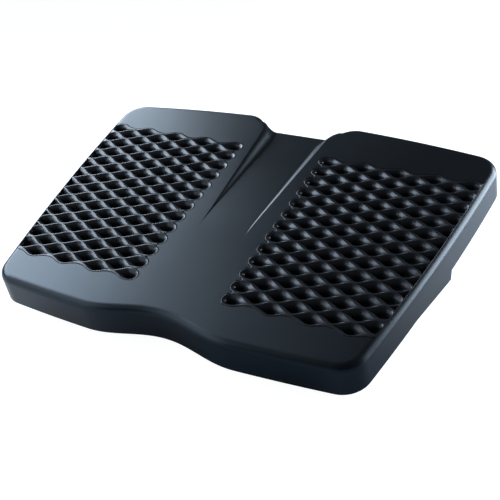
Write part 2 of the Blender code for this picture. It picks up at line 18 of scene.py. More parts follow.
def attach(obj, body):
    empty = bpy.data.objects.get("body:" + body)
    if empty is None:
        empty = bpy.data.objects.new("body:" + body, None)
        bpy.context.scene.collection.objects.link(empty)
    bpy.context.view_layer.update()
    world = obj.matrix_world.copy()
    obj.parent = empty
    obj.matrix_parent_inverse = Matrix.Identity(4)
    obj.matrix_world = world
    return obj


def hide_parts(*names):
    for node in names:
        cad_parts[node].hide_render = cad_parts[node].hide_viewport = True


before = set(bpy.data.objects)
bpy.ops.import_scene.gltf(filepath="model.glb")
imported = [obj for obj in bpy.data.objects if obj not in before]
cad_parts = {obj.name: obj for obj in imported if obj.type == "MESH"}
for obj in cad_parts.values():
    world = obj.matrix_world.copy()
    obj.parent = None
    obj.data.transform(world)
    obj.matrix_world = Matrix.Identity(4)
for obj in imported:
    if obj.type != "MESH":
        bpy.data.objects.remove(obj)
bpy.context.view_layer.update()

# %% [markdown]
# ## The camera
# The photograph looks down on the front of the footrest from its right. A camera is nothing
# but a place, three directions and a lens, so the directions are written as a matrix: what is
# right, up and back in the picture. That says more than three angles would, and it can be
# checked by eye. The place came from matching the outline and the grid of cells.

# %% camera
CAMERA_PLACE = (0.4223, -0.7428, 0.4207)
PICTURE_RIGHT = Vector((0.8746, 0.4847, 0.0026))
PICTURE_DOWN = Vector((0.1932, -0.3436, -0.9190))
LENS_MM = 65.4
SENSOR_MM = 36.0

lens = bpy.data.cameras.new("photo_camera")
lens.lens = LENS_MM
lens.sensor_width = SENSOR_MM
camera = bpy.data.objects.new("photo_camera", lens)
right = PICTURE_RIGHT.normalized()
up = (-PICTURE_DOWN + PICTURE_DOWN.dot(right) * right).normalized()
back = right.cross(up)
directions = Matrix((right, up, back)).transposed().to_4x4()
camera.matrix_world = Matrix.Translation(CAMERA_PLACE) @ directions
bpy.context.scene.collection.objects.link(camera)
bpy.context.scene.camera = camera
print("camera looks along", [round(-v, 3) for v in back])

# %% [markdown]
# ## The platform's own frame
# Every curve of the platform is drawn flat, as its maker would draw it, in a frame whose
# origin is the middle of the top and whose Z is square to it. One matrix then tips the drawing
# back by 20 degrees onto the frame. It could be drawn tilted, but then no size would be a
# plain number.

# %% platform sizes in metres
TILT = math.radians(20.0)
TOP_MIDDLE = Vector((0.0, -0.01417, 0.097))
TO_WORLD = Matrix.Translation(TOP_MIDDLE) @ Matrix.Rotation(TILT, 4, "X")
# The sides: half the width at the middle, how fast it grows to the back, and how it bows.
HALF_WIDTH = 0.2133
SIDE_SLOPE = 0.1107
SIDE_CURVE = 0.23
# The back and front edges, each with its bow, and the scoop in the front.
BACK_EDGE = 0.1735
BACK_BOW = 0.0130
FRONT_EDGE = 0.1580
FRONT_BOW = 0.0086
BOW_SPAN = 0.1896
NOTCH_DEPTH = 0.0145
NOTCH_HALF = 0.080
# Corner radii, with the directions in degrees at which each round meets its neighbours.
REAR_CORNER = 0.027
REAR_TURN = (82.4, -3.0)
FRONT_CORNER = 0.025
FRONT_TURN = (-9.7, -84.8)
# The saddle between the lobes, its small inner round, and the lobes' inner round.
SADDLE_EDGE = 0.159
SADDLE_HALF = 0.036
SADDLE_CORNER = 0.0085
SADDLE_CORNER_X = 0.0365
SADDLE_TURN = (275.0, 325.0)
LOBE_CORNER = 0.025
LOBE_CORNER_X = 0.0670
LOBE_CORNER_Y = 0.1469
LOBE_TURN_LEAD = 12.0
LOBE_TURN_END = 87.2
# The fillet round the top, smaller at the saddle, and the skirt below it.
TOP_ROUND = 0.0076
SADDLE_ROUND = 0.0052
SKIRT_DEPTH = 0.032
SKIRT_FLARE = 0.0008
WALL = 0.003
print("the platform is", round(2000 * HALF_WIDTH), "mm wide in the middle")

# %% [markdown]
# ## The outline
# Seen from above, the platform has bowed back edges, a waist that widens to the back, a
# shallow scoop in the front and a saddle between the two lobes. A spline laid over points
# would be quick, but its radii would be nobody's choice. Here every stretch is a formula or
# an arc with a radius in the list above, and the points lie close enough to look smooth.


# %% outline helpers
CORNER_ROUNDS = 40


def half_width(y):
    """Half the platform's width at a distance from its middle line."""
    return HALF_WIDTH + SIDE_SLOPE * y - SIDE_CURVE * y * y


def back_edge(x):
    return BACK_EDGE - BACK_BOW * (x / BOW_SPAN) ** 2


def front_edge(x):
    scoop = 0.5 + 0.5 * math.cos(math.pi * x / NOTCH_HALF) if abs(x) < NOTCH_HALF else 0.0
    return -FRONT_EDGE + FRONT_BOW * (x / BOW_SPAN) ** 2 + NOTCH_DEPTH * scoop


def arc(middle, radius, start, end, count):
    """Points on a circle from one direction in degrees to another."""
    turns = [math.radians(start + (end - start) * i / (count - 1)) for i in range(count)]
    return [(middle[0] + radius * math.cos(t), middle[1] + radius * math.sin(t)) for t in turns]


def spaced(start, end, count):
    """Evenly spaced numbers, both ends among them."""
    return [start + (end - start) * i / (count - 1) for i in range(count)]


def corner_middle(edge, radius, on_side, on_edge):
    """Where an arc's middle lies so that it meets the side and one edge without a kink."""
    edge_x, edge_y = (radius * part(math.radians(on_edge)) for part in (math.cos, math.sin))
    side_x, side_y = (radius * part(math.radians(on_side)) for part in (math.cos, math.sin))
    x = HALF_WIDTH
    for _ in range(CORNER_ROUNDS):
        y = edge(x + edge_x) - edge_y
        x = half_width(y + side_y) - side_x
    return x, y


rear_middle = corner_middle(back_edge, REAR_CORNER, *REAR_TURN[::-1])
print("the rear corner's middle:", [round(v, 4) for v in rear_middle])

# %% [markdown]
# The right half is drawn from the saddle's middle round to the middle of the scoop: one run of
# arcs and edges. Its points are then spaced evenly, so that every band of faces built on them
# is regular, and the left half is its mirror image.

# %% the outline's right half, then both
OUTLINE_STEP = 0.0026
# Room between each round and the first or last point of the edge beside it.
AFTER_LOBE = 0.004
BEFORE_REAR = 0.002
AFTER_REAR = 0.006
BEFORE_FRONT = 0.002
AFTER_FRONT = 0.004


def evened(points, step):
    """The same line with its points one step apart."""
    line = [Vector(p) for p in points]
    runs = [(b - a).length for a, b in zip(line, line[1:])]
    count = max(2, round(sum(runs) / step))
    found, i, passed = [], 0, 0.0
    for k in range(count + 1):
        want = sum(runs) * k / count
        while i < len(runs) - 1 and passed + runs[i] < want:
            passed += runs[i]
            i += 1
        found.append(line[i].lerp(line[i + 1], min(1.0, (want - passed) / runs[i])))
    return [tuple(p) for p in found]


def platform_outline():
    """The whole outline as seen from above, counter-clockwise."""
    lobe_start = 180.0 - math.degrees(math.asin((SADDLE_EDGE - LOBE_CORNER_Y) / LOBE_CORNER))
    lobe_turn = (lobe_start - LOBE_TURN_LEAD, LOBE_TURN_END)
    rear, front = rear_middle, corner_middle(front_edge, FRONT_CORNER, *FRONT_TURN)
    line = [(0.0, SADDLE_EDGE), (SADDLE_HALF, SADDLE_EDGE)]
    line += arc((SADDLE_CORNER_X, SADDLE_EDGE + SADDLE_CORNER), SADDLE_CORNER, *SADDLE_TURN, 8)
    line += arc((LOBE_CORNER_X, LOBE_CORNER_Y), LOBE_CORNER, *lobe_turn, 24)
    back_xs = spaced(LOBE_CORNER_X + AFTER_LOBE, rear[0] - BEFORE_REAR, 30)
    line += [(x, back_edge(x)) for x in back_xs]
    line += arc(rear, REAR_CORNER, *REAR_TURN, 24)
    side_ys = spaced(rear[1] - AFTER_REAR, front[1] + BEFORE_FRONT, 40)
    line += [(half_width(y), y) for y in side_ys]
    line += arc(front, FRONT_CORNER, *FRONT_TURN, 24)
    line += [(x, front_edge(x)) for x in spaced(front[0] - AFTER_FRONT, 0.0, 80)]
    half = evened(line, OUTLINE_STEP)
    return half[::-1] + [(-x, y) for x, y in half[1:-1]]


OUTLINE = platform_outline()
print(len(OUTLINE), "points round the platform")

# %% [markdown]
# ## How high the top is at any place
# The whole upper face is one height over its plan: flat, rounded off towards the edge, and
# sunk between the lobes. Cutting a rounded block with a channel would leave a hard line where
# the channel's walls meet the top. A height worked out from the distance to the edge and from
# the place across the channel gives a wall that flows into the top, as the moulding does. Over
# the last 20 mm the channel's two walls turn outwards, into the round corners of the lobes.

# %% heights of the upper face
CHANNEL_START = -0.0076
CHANNEL_LENGTH = 0.1666
CHANNEL_FALL = 0.0104 / CHANNEL_LENGTH
CHANNEL_FLOOR_HALF = 0.026
CHANNEL_TOP_START = 0.027
CHANNEL_TOP_GROWTH = 0.0135 / CHANNEL_LENGTH
CHANNEL_EASE = 0.022
CHANNEL_FLARE = 0.0065
FLARE_START = 0.138
SADDLE_FROM = 0.12
STRETCH_REACH = 0.004  # longer than any stretch of the outline


def channel_wall(y, share):
    """Half width of the channel, from its wall's foot at share 0 to the wall's top at share 1."""
    along = max(0.0, y - CHANNEL_START)
    flare = CHANNEL_FLARE * (max(0.0, y - FLARE_START) / (SADDLE_EDGE - FLARE_START)) ** 2
    top = CHANNEL_TOP_START + along * CHANNEL_TOP_GROWTH
    return flare + CHANNEL_FLOOR_HALF + (top - CHANNEL_FLOOR_HALF) * share


def sunk(x, y):
    """How far the channel lies below the lobes, and how much of a channel this place is."""
    past = y - CHANNEL_START
    eased = (past + CHANNEL_EASE) ** 2 / (4 * CHANNEL_EASE)
    depth = CHANNEL_FALL * (max(0.0, past) if abs(past) > CHANNEL_EASE else eased)
    foot = channel_wall(y, 0.0)
    t = min(1.0, max(0.0, (abs(x) - foot) / (channel_wall(y, 1.0) - foot)))
    inside = 1.0 - t * t * (3.0 - 2.0 * t)
    return depth * inside, inside


EDGES = [(Vector(a), Vector(b)) for a, b in zip(OUTLINE, OUTLINE[1:] + OUTLINE[:1])]


def inset(x, y):
    """Distance from the outline, measured to its nearest stretch."""
    p = Vector((x, y))
    best = 1.0
    for a, b in EDGES:
        if abs(a.x - x) < best + STRETCH_REACH and abs(a.y - y) < best + STRETCH_REACH:
            run = b - a
            t = min(1.0, max(0.0, (p - a).dot(run) / run.length_squared))
            best = min(best, (p - a - run * t).length)
    return best


def edge_round(x, y):
    """The fillet's radius: smaller where the outline crosses the channel's end."""
    inside = sunk(x, y)[1] if y > SADDLE_FROM else 0.0
    return TOP_ROUND + (SADDLE_ROUND - TOP_ROUND) * inside


def top_height(x, y):
    """Height of the upper face over the platform's plan, with the flat top at zero."""
    radius = edge_round(x, y)
    drop = radius - math.sqrt(max(0.0, radius ** 2 - (radius - min(inset(x, y), radius)) ** 2))
    return -sunk(x, y)[0] - drop


print("the channel is", round(-1000 * top_height(0.0, 0.14), 1), "mm deep near its back")

# %% [markdown]
# ## The treads' lattice
# Each lobe has a lattice of leaf-shaped openings in staggered rows, between ribs with narrow
# rounded tops. The rows beside the channel end in round slots, and the ends of the lattice
# follow the cells, which gives the scalloped line. An array modifier could repeat one cell,
# but not the slots, the clipped cells at the side or the edge, so the cells are listed.

# %% lattice sizes
ROW_PITCH = 0.0178
COLUMN_PITCH = 0.038
FULL_ROWS = 13
COLUMNS = 5
FIRST_COLUMN = 0.057
LEAF_STEPS = 18
SLOT_STEPS = 10
CREST_HALF_LENGTH = 0.0187
CREST_HALF_HEIGHT = 0.0084
BORDER_HALF_HEIGHT = 0.0068
SLOT_END_X = 0.0473
SLOT_END_RADIUS = 0.0060
SLOT_MIDDLE_X = SLOT_END_X + SLOT_END_RADIUS
SLOT_CREST_RADIUS = 0.0066
SLOT_HALF_HEIGHT = 0.0069
SLOT_CENTRE_SHIFT = 0.0015
SMALLEST_CELL = 0.006
CENTRE_CLEARANCE = 0.0005
TREAD_DEPTH = 0.0135
TREAD_HALF_HEIGHT = 0.0079
TREAD_RIM = 0.0016
TREAD_SIDE_INSET = 0.0050
CELL_SIDE_INSET = 0.0056
GAP = 0.0003


def leaf_share(u):
    """Half height of a leaf at a share of its half length: pointed ends, round middle."""
    return 0.5 + 0.5 * math.cos(math.pi * u)


print("a leaf is", round(2000 * CREST_HALF_LENGTH), "mm long and",
      round(2000 * CREST_HALF_HEIGHT, 1), "mm high from crest to crest")


# %% [markdown]
# A cell is a closed line along the crests of the ribs round it. Most cells are whole leaves.
# Beside the channel a cell is half a leaf with a round end, and at the outer side the leaf is
# cut along the platform's edge. Each cell keeps its middle too, because the lines further down
# its flank are the same line drawn smaller about that middle.

# %% cells of the right tread
def leaf(x, y, up, down):
    """A leaf's outline. Where the side cuts it before its middle, the rest closes in evenly."""
    cut = (side_limit(y, y) - x) / CREST_HALF_LENGTH

    def share(u):
        past_cut = cut <= 0.0 and u >= cut
        return leaf_share(cut) * (1.0 - u) / (1.0 - cut) if past_cut else leaf_share(u)

    steps = [-math.cos(math.pi * i / LEAF_STEPS) for i in range(LEAF_STEPS + 1)]
    low = [(x + CREST_HALF_LENGTH * u, y - down * share(u)) for u in steps]
    high = [(x + CREST_HALF_LENGTH * u, y + up * share(u)) for u in steps]
    return low + high[-2:0:-1]


def slot(y, up, down):
    """A row's first cell: half a leaf with a round end beside the channel."""
    steps = [math.sin(math.pi / 2 * i / SLOT_STEPS) for i in range(1, SLOT_STEPS + 1)]

    def half(u, height):
        return FIRST_COLUMN + CREST_HALF_LENGTH * u, min(SLOT_HALF_HEIGHT, height * leaf_share(u))

    low = [(x, y - reach) for x, reach in (half(u, down) for u in steps)]
    high = [(x, y + reach) for x, reach in (half(u, up) for u in steps[-2::-1])]
    return arc((SLOT_MIDDLE_X, y), SLOT_CREST_RADIUS, 92.0, 268.0, 17) + low + high


def side_limit(y, y_middle):
    """How far out a cell may reach, on a straight line beside the platform's edge."""
    slope = SIDE_SLOPE - 2.0 * SIDE_CURVE * y_middle
    return half_width(y_middle) - CELL_SIDE_INSET + slope * (y - y_middle)


def scaled(points, middle, share):
    """A cell drawn smaller about its middle, but no further out than the side's limit."""
    x, y = middle
    smaller = [(x + (px - x) * share, y + (py - y) * share) for px, py in points]
    return [(min(px, side_limit(py, y)), py) for px, py in smaller]


def tread_cells():
    """Every cell of the right tread as its outline along the crest and its middle."""
    reach = FULL_ROWS // 2
    cells = []
    for row in range(-reach, reach + 1):
        y = row * ROW_PITCH
        up = BORDER_HALF_HEIGHT if row == reach else CREST_HALF_HEIGHT
        down = BORDER_HALF_HEIGHT if row == -reach else CREST_HALF_HEIGHT
        cells.append((slot(y, up, down), (SLOT_MIDDLE_X + SLOT_CENTRE_SHIFT, y)))
        for column in range(1, COLUMNS):
            x = FIRST_COLUMN + column * COLUMN_PITCH
            cells.append((leaf(x, y, up, down), (x, y)))
    for row in range(-reach, reach):
        y = (row + 0.5) * ROW_PITCH
        for column in range(COLUMNS - 1):
            x = FIRST_COLUMN + (column + 0.5) * COLUMN_PITCH
            cells.append((leaf(x, y, CREST_HALF_HEIGHT, CREST_HALF_HEIGHT), (x, y)))
    kept = []
    for points, (x, y) in cells:
        room = side_limit(y, y) - min(p[0] for p in points)
        if room > SMALLEST_CELL:
            kept.append((points, (min(x, side_limit(y, y) - CENTRE_CLEARANCE), y)))
    return kept


CELLS = tread_cells()
print(len(CELLS), "cells in each tread")


# %% scalloped outline of the right tread
# Millimetres from a column's middle, and the share of the full half height at that place.
SCALLOP = ((-3.0, 0.98), (0.0, 1.0), (3.0, 0.98), (6.5, 0.83), (10.0, 0.63), (13.0, 0.49),
           (16.0, 0.41), (19.0, 0.38), (22.0, 0.41), (25.0, 0.49), (28.0, 0.63), (31.5, 0.83))
SCALLOP_CLEARANCE = 0.002
CUSP_STEP = 0.0008


def tread_outline():
    """The tread's edge: wavy at the front and rear, straight outside, lobed at the channel."""
    last_row = ROW_PITCH * (FULL_ROWS // 2)
    edge = []
    for column in range(COLUMNS):
        for step, share in SCALLOP:
            x = FIRST_COLUMN + column * COLUMN_PITCH + step / 1000.0
            if x >= FIRST_COLUMN:
                edge.append((x, last_row + TREAD_HALF_HEIGHT * share))
    inset_by = TREAD_SIDE_INSET + SCALLOP_CLEARANCE
    front, rear = ([(x, to * y) for x, y in edge if x < half_width(to * y) - inset_by]
                   for to in (-1, 1))
    side = [(half_width(y) - TREAD_SIDE_INSET, y) for y in spaced(front[-1][1], rear[-1][1], 60)]
    inner = []
    for row in range(FULL_ROWS // 2, -(FULL_ROWS // 2) - 1, -1):
        y = row * ROW_PITCH
        inner += arc((SLOT_MIDDLE_X, y), SLOT_END_RADIUS + TREAD_RIM, 106.0, 254.0, 13)
        if row > -(FULL_ROWS // 2):
            inner.append((SLOT_MIDDLE_X - CUSP_STEP, y - ROW_PITCH / 2))
    return front + side + rear[::-1] + inner


TREAD_EDGE = tread_outline()
print(len(TREAD_EDGE), "points round a tread")

# %% [markdown]
# ## Working on flat drawings
# A few small helpers serve both surfaces. One mirrors a closed line and one moves it sideways.
# One fills the space between closed lines with triangles: Blender's constrained triangulation
# keeps every line that it is given, so an opening stays exactly where it was drawn. It also
# keeps flat slivers where three points lie on one straight line, and those are left out. The
# last helper joins two lines of equal length with four-sided faces.

# %% drawing helpers
MITRE_LIMIT = 0.5
LOWEST_TRIANGLE = 1e-7
MERGED = 1e-6
MICROMETRES = 1e6


def mirrored(points, side):
    """The same line for the right side (1) or the left side (-1)."""
    return list(points) if side > 0 else [(-x, y) for x, y in points[::-1]]


def shifted(points, distance):
    """A counter-clockwise line moved outwards, its corners mitred up to twice the distance."""
    found = []
    for i, p in enumerate(points):
        before = (Vector(p) - Vector(points[i - 1])).normalized()
        after = (Vector(points[(i + 1) % len(points)]) - Vector(p)).normalized()
        normal = Vector((after.y, -after.x))
        mean = (Vector((before.y, -before.x)) + normal).normalized()
        reach = distance / max(MITRE_LIMIT, mean.dot(normal))
        found.append((p[0] + mean.x * reach, p[1] + mean.y * reach))
    return found


def within(x, y, loop):
    """Whether a place lies inside a closed line."""
    odd = False
    for (ax, ay), (bx, by) in zip(loop, loop[1:] + loop[:1]):
        if (ay > y) != (by > y) and x < ax + (bx - ax) * (y - ay) / (by - ay):
            odd = not odd
    return odd


def filled(outer, holes, lines=()):
    """Points and triangles of the area inside one closed line and outside the others."""
    points, edges = [], []
    for loop in [outer, *holes]:
        first = len(points)
        points += [Vector(p) for p in loop]
        edges += [(first + i, first + (i + 1) % len(loop)) for i in range(len(loop))]
    for line in lines:
        first = len(points)
        points += [Vector(p) for p in line]
        edges += [(first + i, first + i + 1) for i in range(len(line) - 1)]
    spots, _, faces, _, _, _ = delaunay_2d_cdt(points, edges, [], 0, MERGED)
    boxed = []
    for hole in holes:
        across, along = zip(*hole)
        boxed.append((min(across), max(across), min(along), max(along), hole))
    kept = []
    for face in faces:
        x = sum(spots[i].x for i in face) / len(face)
        y = sum(spots[i].y for i in face) / len(face)
        a, b, c = (spots[i] for i in face)
        longest = max((b - a).length, (c - a).length, (c - b).length)
        if abs((b - a).cross(c - a)) < LOWEST_TRIANGLE * longest or not within(x, y, outer):
            continue
        if any(west < x < east and south < y < north and within(x, y, hole)
               for west, east, south, north, hole in boxed):
            continue
        kept.append(list(face))
    return [tuple(s) for s in spots], kept


class Sheet:
    """Collects points and faces, sharing points that lie on the same spot."""

    def __init__(self):
        self.bm = bmesh.new()
        self.seen = {}

    def at(self, x, y, z):
        """The sheet's point at this spot, made when it is first asked for."""
        key = tuple(round(v * 2 * MICROMETRES) for v in (x, y, z))
        if key not in self.seen:
            self.seen[key] = self.bm.verts.new((x, y, z))
        return self.seen[key]

    def face(self, corners):
        """One face, without corners that repeat and only once."""
        corners = [v for i, v in enumerate(corners) if v is not corners[i - 1]]
        if len(corners) > 2 and self.bm.faces.get(corners) is None:
            self.bm.faces.new(corners)

    def band(self, upper, lower):
        """Faces between two closed lines of equal length, given as points in space."""
        high = [self.at(*p) for p in upper]
        low = [self.at(*p) for p in lower]
        for i in range(len(high)):
            j = (i + 1) % len(high)
            self.face([high[i], low[i], low[j], high[j]])


print("helpers ready")

# %% [markdown]
# ## Turning a drawing into a piece
# A finished drawing gets its seams closed first: where two stretches were drawn with different
# points, the open edge of one is split at the points of the other, so that every edge ends up
# between exactly two faces, as on a solid thing. Then it gets one consistent outside and smooth
# shading that stops at real edges. The weighted normals let the large flat faces keep their own
# direction, so that a fillet doesn't tint the flat beside it. The piece is tipped into place
# and rides on the body of the frame that it belongs to: both surfaces tilt with the platform.

# %% making pieces
SAME_SPOT = 2e-6
ON_THE_EDGE = 3e-6
NO_LENGTH = 1e-6


def stitched(bm):
    """Joins points on the same spot, and splits an open edge where another open edge ends on it."""
    bmesh.ops.remove_doubles(bm, verts=bm.verts, dist=SAME_SPOT)
    seams = [tuple(e.verts) for e in bm.edges if e.is_boundary]
    ends = {v for pair in seams for v in pair}
    for a, c in seams:
        run = c.co - a.co
        stops = [((v.co - a.co).dot(run) / run.length_squared, v) for v in ends - {a, c}]
        stops = [(t, v) for t, v in stops
                 if 0.0 < t < 1.0 and (v.co - a.co - run * t).length < ON_THE_EDGE]
        passed, start = 0.0, a
        for t, v in sorted(stops, key=lambda stop: stop[0]):
            seam = bm.edges.get((start, c))
            start = bmesh.utils.edge_split(seam, start, (t - passed) / (1.0 - passed))[1]
            start.co = v.co
            passed = t
    bmesh.ops.remove_doubles(bm, verts=bm.verts, dist=SAME_SPOT)


def made_piece(name, bm, sharp, weighted):
    """A finished piece of the platform, shaded smooth up to an angle in degrees."""
    stitched(bm)
    bmesh.ops.dissolve_degenerate(bm, edges=bm.edges, dist=NO_LENGTH)
    bmesh.ops.recalc_face_normals(bm, faces=bm.faces)
    mesh = bpy.data.meshes.new(name)
    bm.to_mesh(mesh)
    bm.free()
    mesh.transform(TO_WORLD)
    mesh.polygons.foreach_set("use_smooth", [True] * len(mesh.polygons))
    mesh.set_sharp_from_angle(angle=math.radians(sharp))
    piece = bpy.data.objects.new(name, mesh)
    bpy.context.scene.collection.objects.link(piece)
    if weighted:
        leading = piece.modifiers.new("flat faces lead", "WEIGHTED_NORMAL")
        leading.keep_sharp = True
        leading.weight = 50
    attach(piece, "platform")
    print(name, len(mesh.polygons), "faces")
    return piece


print("a seam is closed where points lie within", round(1e6 * SAME_SPOT), "micrometres")

# %% [markdown]
# ## The shell
# The real shell is one moulding, 3 mm thick, open below. It is drawn as a single skin, the
# upper face with its two windows and the skirt round it, and then doubled inwards by the
# thickness of the wall. A solid block hollowed by a cut would do as well, but the skin needs
# no cut and keeps its faces in neat rows round the fillet.

# %% the upper face and the skirt
ROUND_STEPS = 9
BANDED_STEPS = 6
SKIRT_ROWS = (0.25, 0.5, 0.75, 1.0)
CHANNEL_END_GAP = 0.0004


def ring_inset(point, share):
    """How far inside the outline the fillet lies at a share of its quarter turn."""
    return edge_round(*point) * (1.0 - math.cos(math.radians(90.0) * share))


def moved_in(points, shares):
    """The outline moved inwards point by point."""
    found = []
    for i, p in enumerate(points):
        run = (Vector(points[(i + 1) % len(points)]) - Vector(points[i - 1])).normalized()
        found.append((p[0] - run.y * shares[i], p[1] + run.x * shares[i]))
    return found


shell_sheet = Sheet()
first_ring = moved_in(OUTLINE, [ring_inset(p, BANDED_STEPS / ROUND_STEPS) for p in OUTLINE])
windows = [mirrored(shifted(TREAD_EDGE, GAP), side) for side in (1, -1)]
lines = []
for step in range(BANDED_STEPS + 1, ROUND_STEPS + 1):
    ring = moved_in(OUTLINE, [ring_inset(p, step / ROUND_STEPS) for p in OUTLINE])
    lines.append(ring + ring[:1])
channel_end = SADDLE_EDGE - SADDLE_ROUND - CHANNEL_END_GAP
channel_rows = spaced(CHANNEL_START - CHANNEL_EASE, channel_end, 48)
for side in (1, -1):
    for t in spaced(0.0, 1.0, 11):
        lines.append([(side * channel_wall(y, t), y) for y in channel_rows])
for y in spaced(CHANNEL_START - CHANNEL_EASE, CHANNEL_START + CHANNEL_EASE, 12):
    lines.append([(-CHANNEL_FLOOR_HALF, y), (CHANNEL_FLOOR_HALF, y)])
spots, faces = filled(first_ring, windows, lines)
heights = [top_height(x, y) for x, y in spots]
for face in faces:
    shell_sheet.face([shell_sheet.at(*spots[i], heights[i]) for i in face])
print("upper face:", len(faces), "triangles")

# %% [markdown]
# The outer rows of the fillet and the skirt are plain bands, each one ring of the outline above
# the next. They start on the ring where the triangles of the upper face ended. The skirt leans
# out by less than a millimetre, which is the draft that lets a moulding leave its mould.

# %% the fillet's outer rows and the skirt
lower = [(x, y, top_height(x, y)) for x, y in first_ring]
for step in range(BANDED_STEPS - 1, -1, -1):
    share = step / ROUND_STEPS
    ring = moved_in(OUTLINE, [ring_inset(p, share) for p in OUTLINE])
    upper, lower = lower, []
    for (x, y), p in zip(ring, OUTLINE):
        radius = edge_round(*p)
        lower.append((x, y, -sunk(x, y)[0] - radius * (1.0 - math.sin(math.radians(90.0) * share))))
    shell_sheet.band(upper, lower)
for row in SKIRT_ROWS:
    flared = shifted(OUTLINE, SKIRT_FLARE * row)
    upper, lower = lower, []
    for (x, y), p in zip(flared, OUTLINE):
        start = -sunk(*p)[0] - edge_round(*p)
        lower.append((x, y, start + (-SKIRT_DEPTH - start) * row))
    shell_sheet.band(upper, lower)
print("skin:", len(shell_sheet.bm.faces), "faces")

# %% [markdown]
# The skin now gets its thickness. A second skin follows 3 mm inside the first, and a narrow
# face closes every edge that was still open: the rim of the skirt and of the two windows.
# Eight screw bosses for the beams hang below it.

# %% the wall's thickness
CORNER_LIMIT = 1.3
BEAM_X = 0.157
BEAM_TOP = -0.0138
BEAM_SCREW_Y = 0.125
BEAM_SCREW_SPREAD = 0.010
BOSS_OUTER = 0.0042
BOSS_INNER = 0.0018
BOSS_TOP = -0.0026


def thickened(bm, thickness):
    """Doubles a skin inwards along its own normals and closes every open edge."""
    stitched(bm)
    bmesh.ops.recalc_face_normals(bm, faces=bm.faces)
    bm.normal_update()
    if max(bm.faces, key=lambda f: f.calc_center_median().z).normal.z < 0:
        bmesh.ops.reverse_faces(bm, faces=bm.faces)
        bm.normal_update()
    outer = list(bm.verts)
    open_edges = [e for e in bm.edges if e.is_boundary]
    skin = list(bm.faces)
    inner = {}
    for v in outer:
        reach = thickness * min(CORNER_LIMIT, v.calc_shell_factor())
        inner[v] = bm.verts.new(v.co - v.normal * reach)
    for f in skin:
        bm.faces.new([inner[v] for v in reversed(f.verts)])
    for e in open_edges:
        a, b = e.verts
        if e.link_loops[0].vert is a:
            a, b = b, a
        bm.faces.new([a, b, inner[b], inner[a]])


thickened(shell_sheet.bm, WALL)


def tube(bm, x, y, outer, inner, low, high, count=24):
    """A screw boss: a tube with flat ends."""
    rings = []
    for radius, z in ((outer, high), (outer, low), (inner, low), (inner, high)):
        circle = arc((0, 0), radius, 0, 360 - 360 / count, count)
        rings.append([bm.verts.new((x + px, y + py, z)) for px, py in circle])
    for k in range(4):
        a, b = rings[k], rings[(k + 1) % 4]
        for i in range(count):
            j = (i + 1) % count
            bm.faces.new((a[i], a[j], b[j], b[i]))


for side in (1, -1):
    for x in (BEAM_X - BEAM_SCREW_SPREAD, BEAM_X + BEAM_SCREW_SPREAD):
        for y in (-BEAM_SCREW_Y, BEAM_SCREW_Y):
            tube(shell_sheet.bm, side * x, y, BOSS_OUTER, BOSS_INNER, BEAM_TOP + GAP, BOSS_TOP)
shell = made_piece("shell_moulding", shell_sheet.bm, sharp=32.0, weighted=True)
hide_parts("platform_shell")

# %% [markdown]
# ## The treads
# Under a sole the ribs have to be kind, so their tops are rounded and their flanks lean into
# the openings. Each cell is a stack of closed lines: the outermost lies on the rib's crest,
# the next ones follow the soft rounding, and the rest run down the flank. A bevel on a cut
# lattice would fail where the leaf tips are sharp; lines drawn from the cell itself can't cross.

# %% rib profile
# Distance from the crest into the cell and drop below the crest, in millimetres.
RIB = ((0.0, 0.0), (0.15, 0.03), (0.4, 0.13), (0.8, 0.34), (1.3, 0.64), (1.9, 1.01), (2.5, 1.42),
       (3.0, 1.86), (3.5, 2.42), (4.0, 3.12), (4.45, 4.0), (4.85, 5.1), (5.15, 6.7),
       (5.3, 1000 * TREAD_DEPTH))
FLANK = [(1.0 - into / (1000 * CREST_HALF_HEIGHT), -drop / 1000) for into, drop in RIB]
# The tread's rim: distance out from its edge and drop, in metres, from the wall to the top.
EDGE_ROUND = ((0.0, -0.0011), (-0.00012, -0.00050), (-0.00036, -0.00014), (-0.00066, 0.0))
SIDE_SHARE = 0.4
opening_height = 2000 * CREST_HALF_HEIGHT * FLANK[-1][0]
print("an opening is", round(opening_height, 1), "mm high at its narrowest")

# %% [markdown]
# The crest is one filled area: the tread's edge round the outside and every cell as a hole. It
# bends down with the platform's fillet at the outer side, and each cell's lines take up that
# bend and lose it towards the bottom, which is flat. The fill hands its points back rounded, so
# their heights are looked up by place, with the neighbouring places as well.


# %% both treads
def rim_line(edge, out):
    """The tread's edge moved inwards, and less so along the side, where the cells come close."""
    found = []
    for moved, (x, y) in zip(shifted(edge, out), edge):
        beside = half_width(y) - abs(x) <= TREAD_SIDE_INSET + MERGED
        found.append((x + SIDE_SHARE * (moved[0] - x), y) if beside else moved)
    return found


def heights_by_place(lines):
    """The height of every point of some lines, found by its place to a micrometre."""
    known = {}
    for line, heights in lines:
        for (x, y), height in zip(line, heights):
            for i in (-1, 0, 1):
                for j in (-1, 0, 1):
                    known[round(x * MICROMETRES) + i, round(y * MICROMETRES) + j] = height
    return known


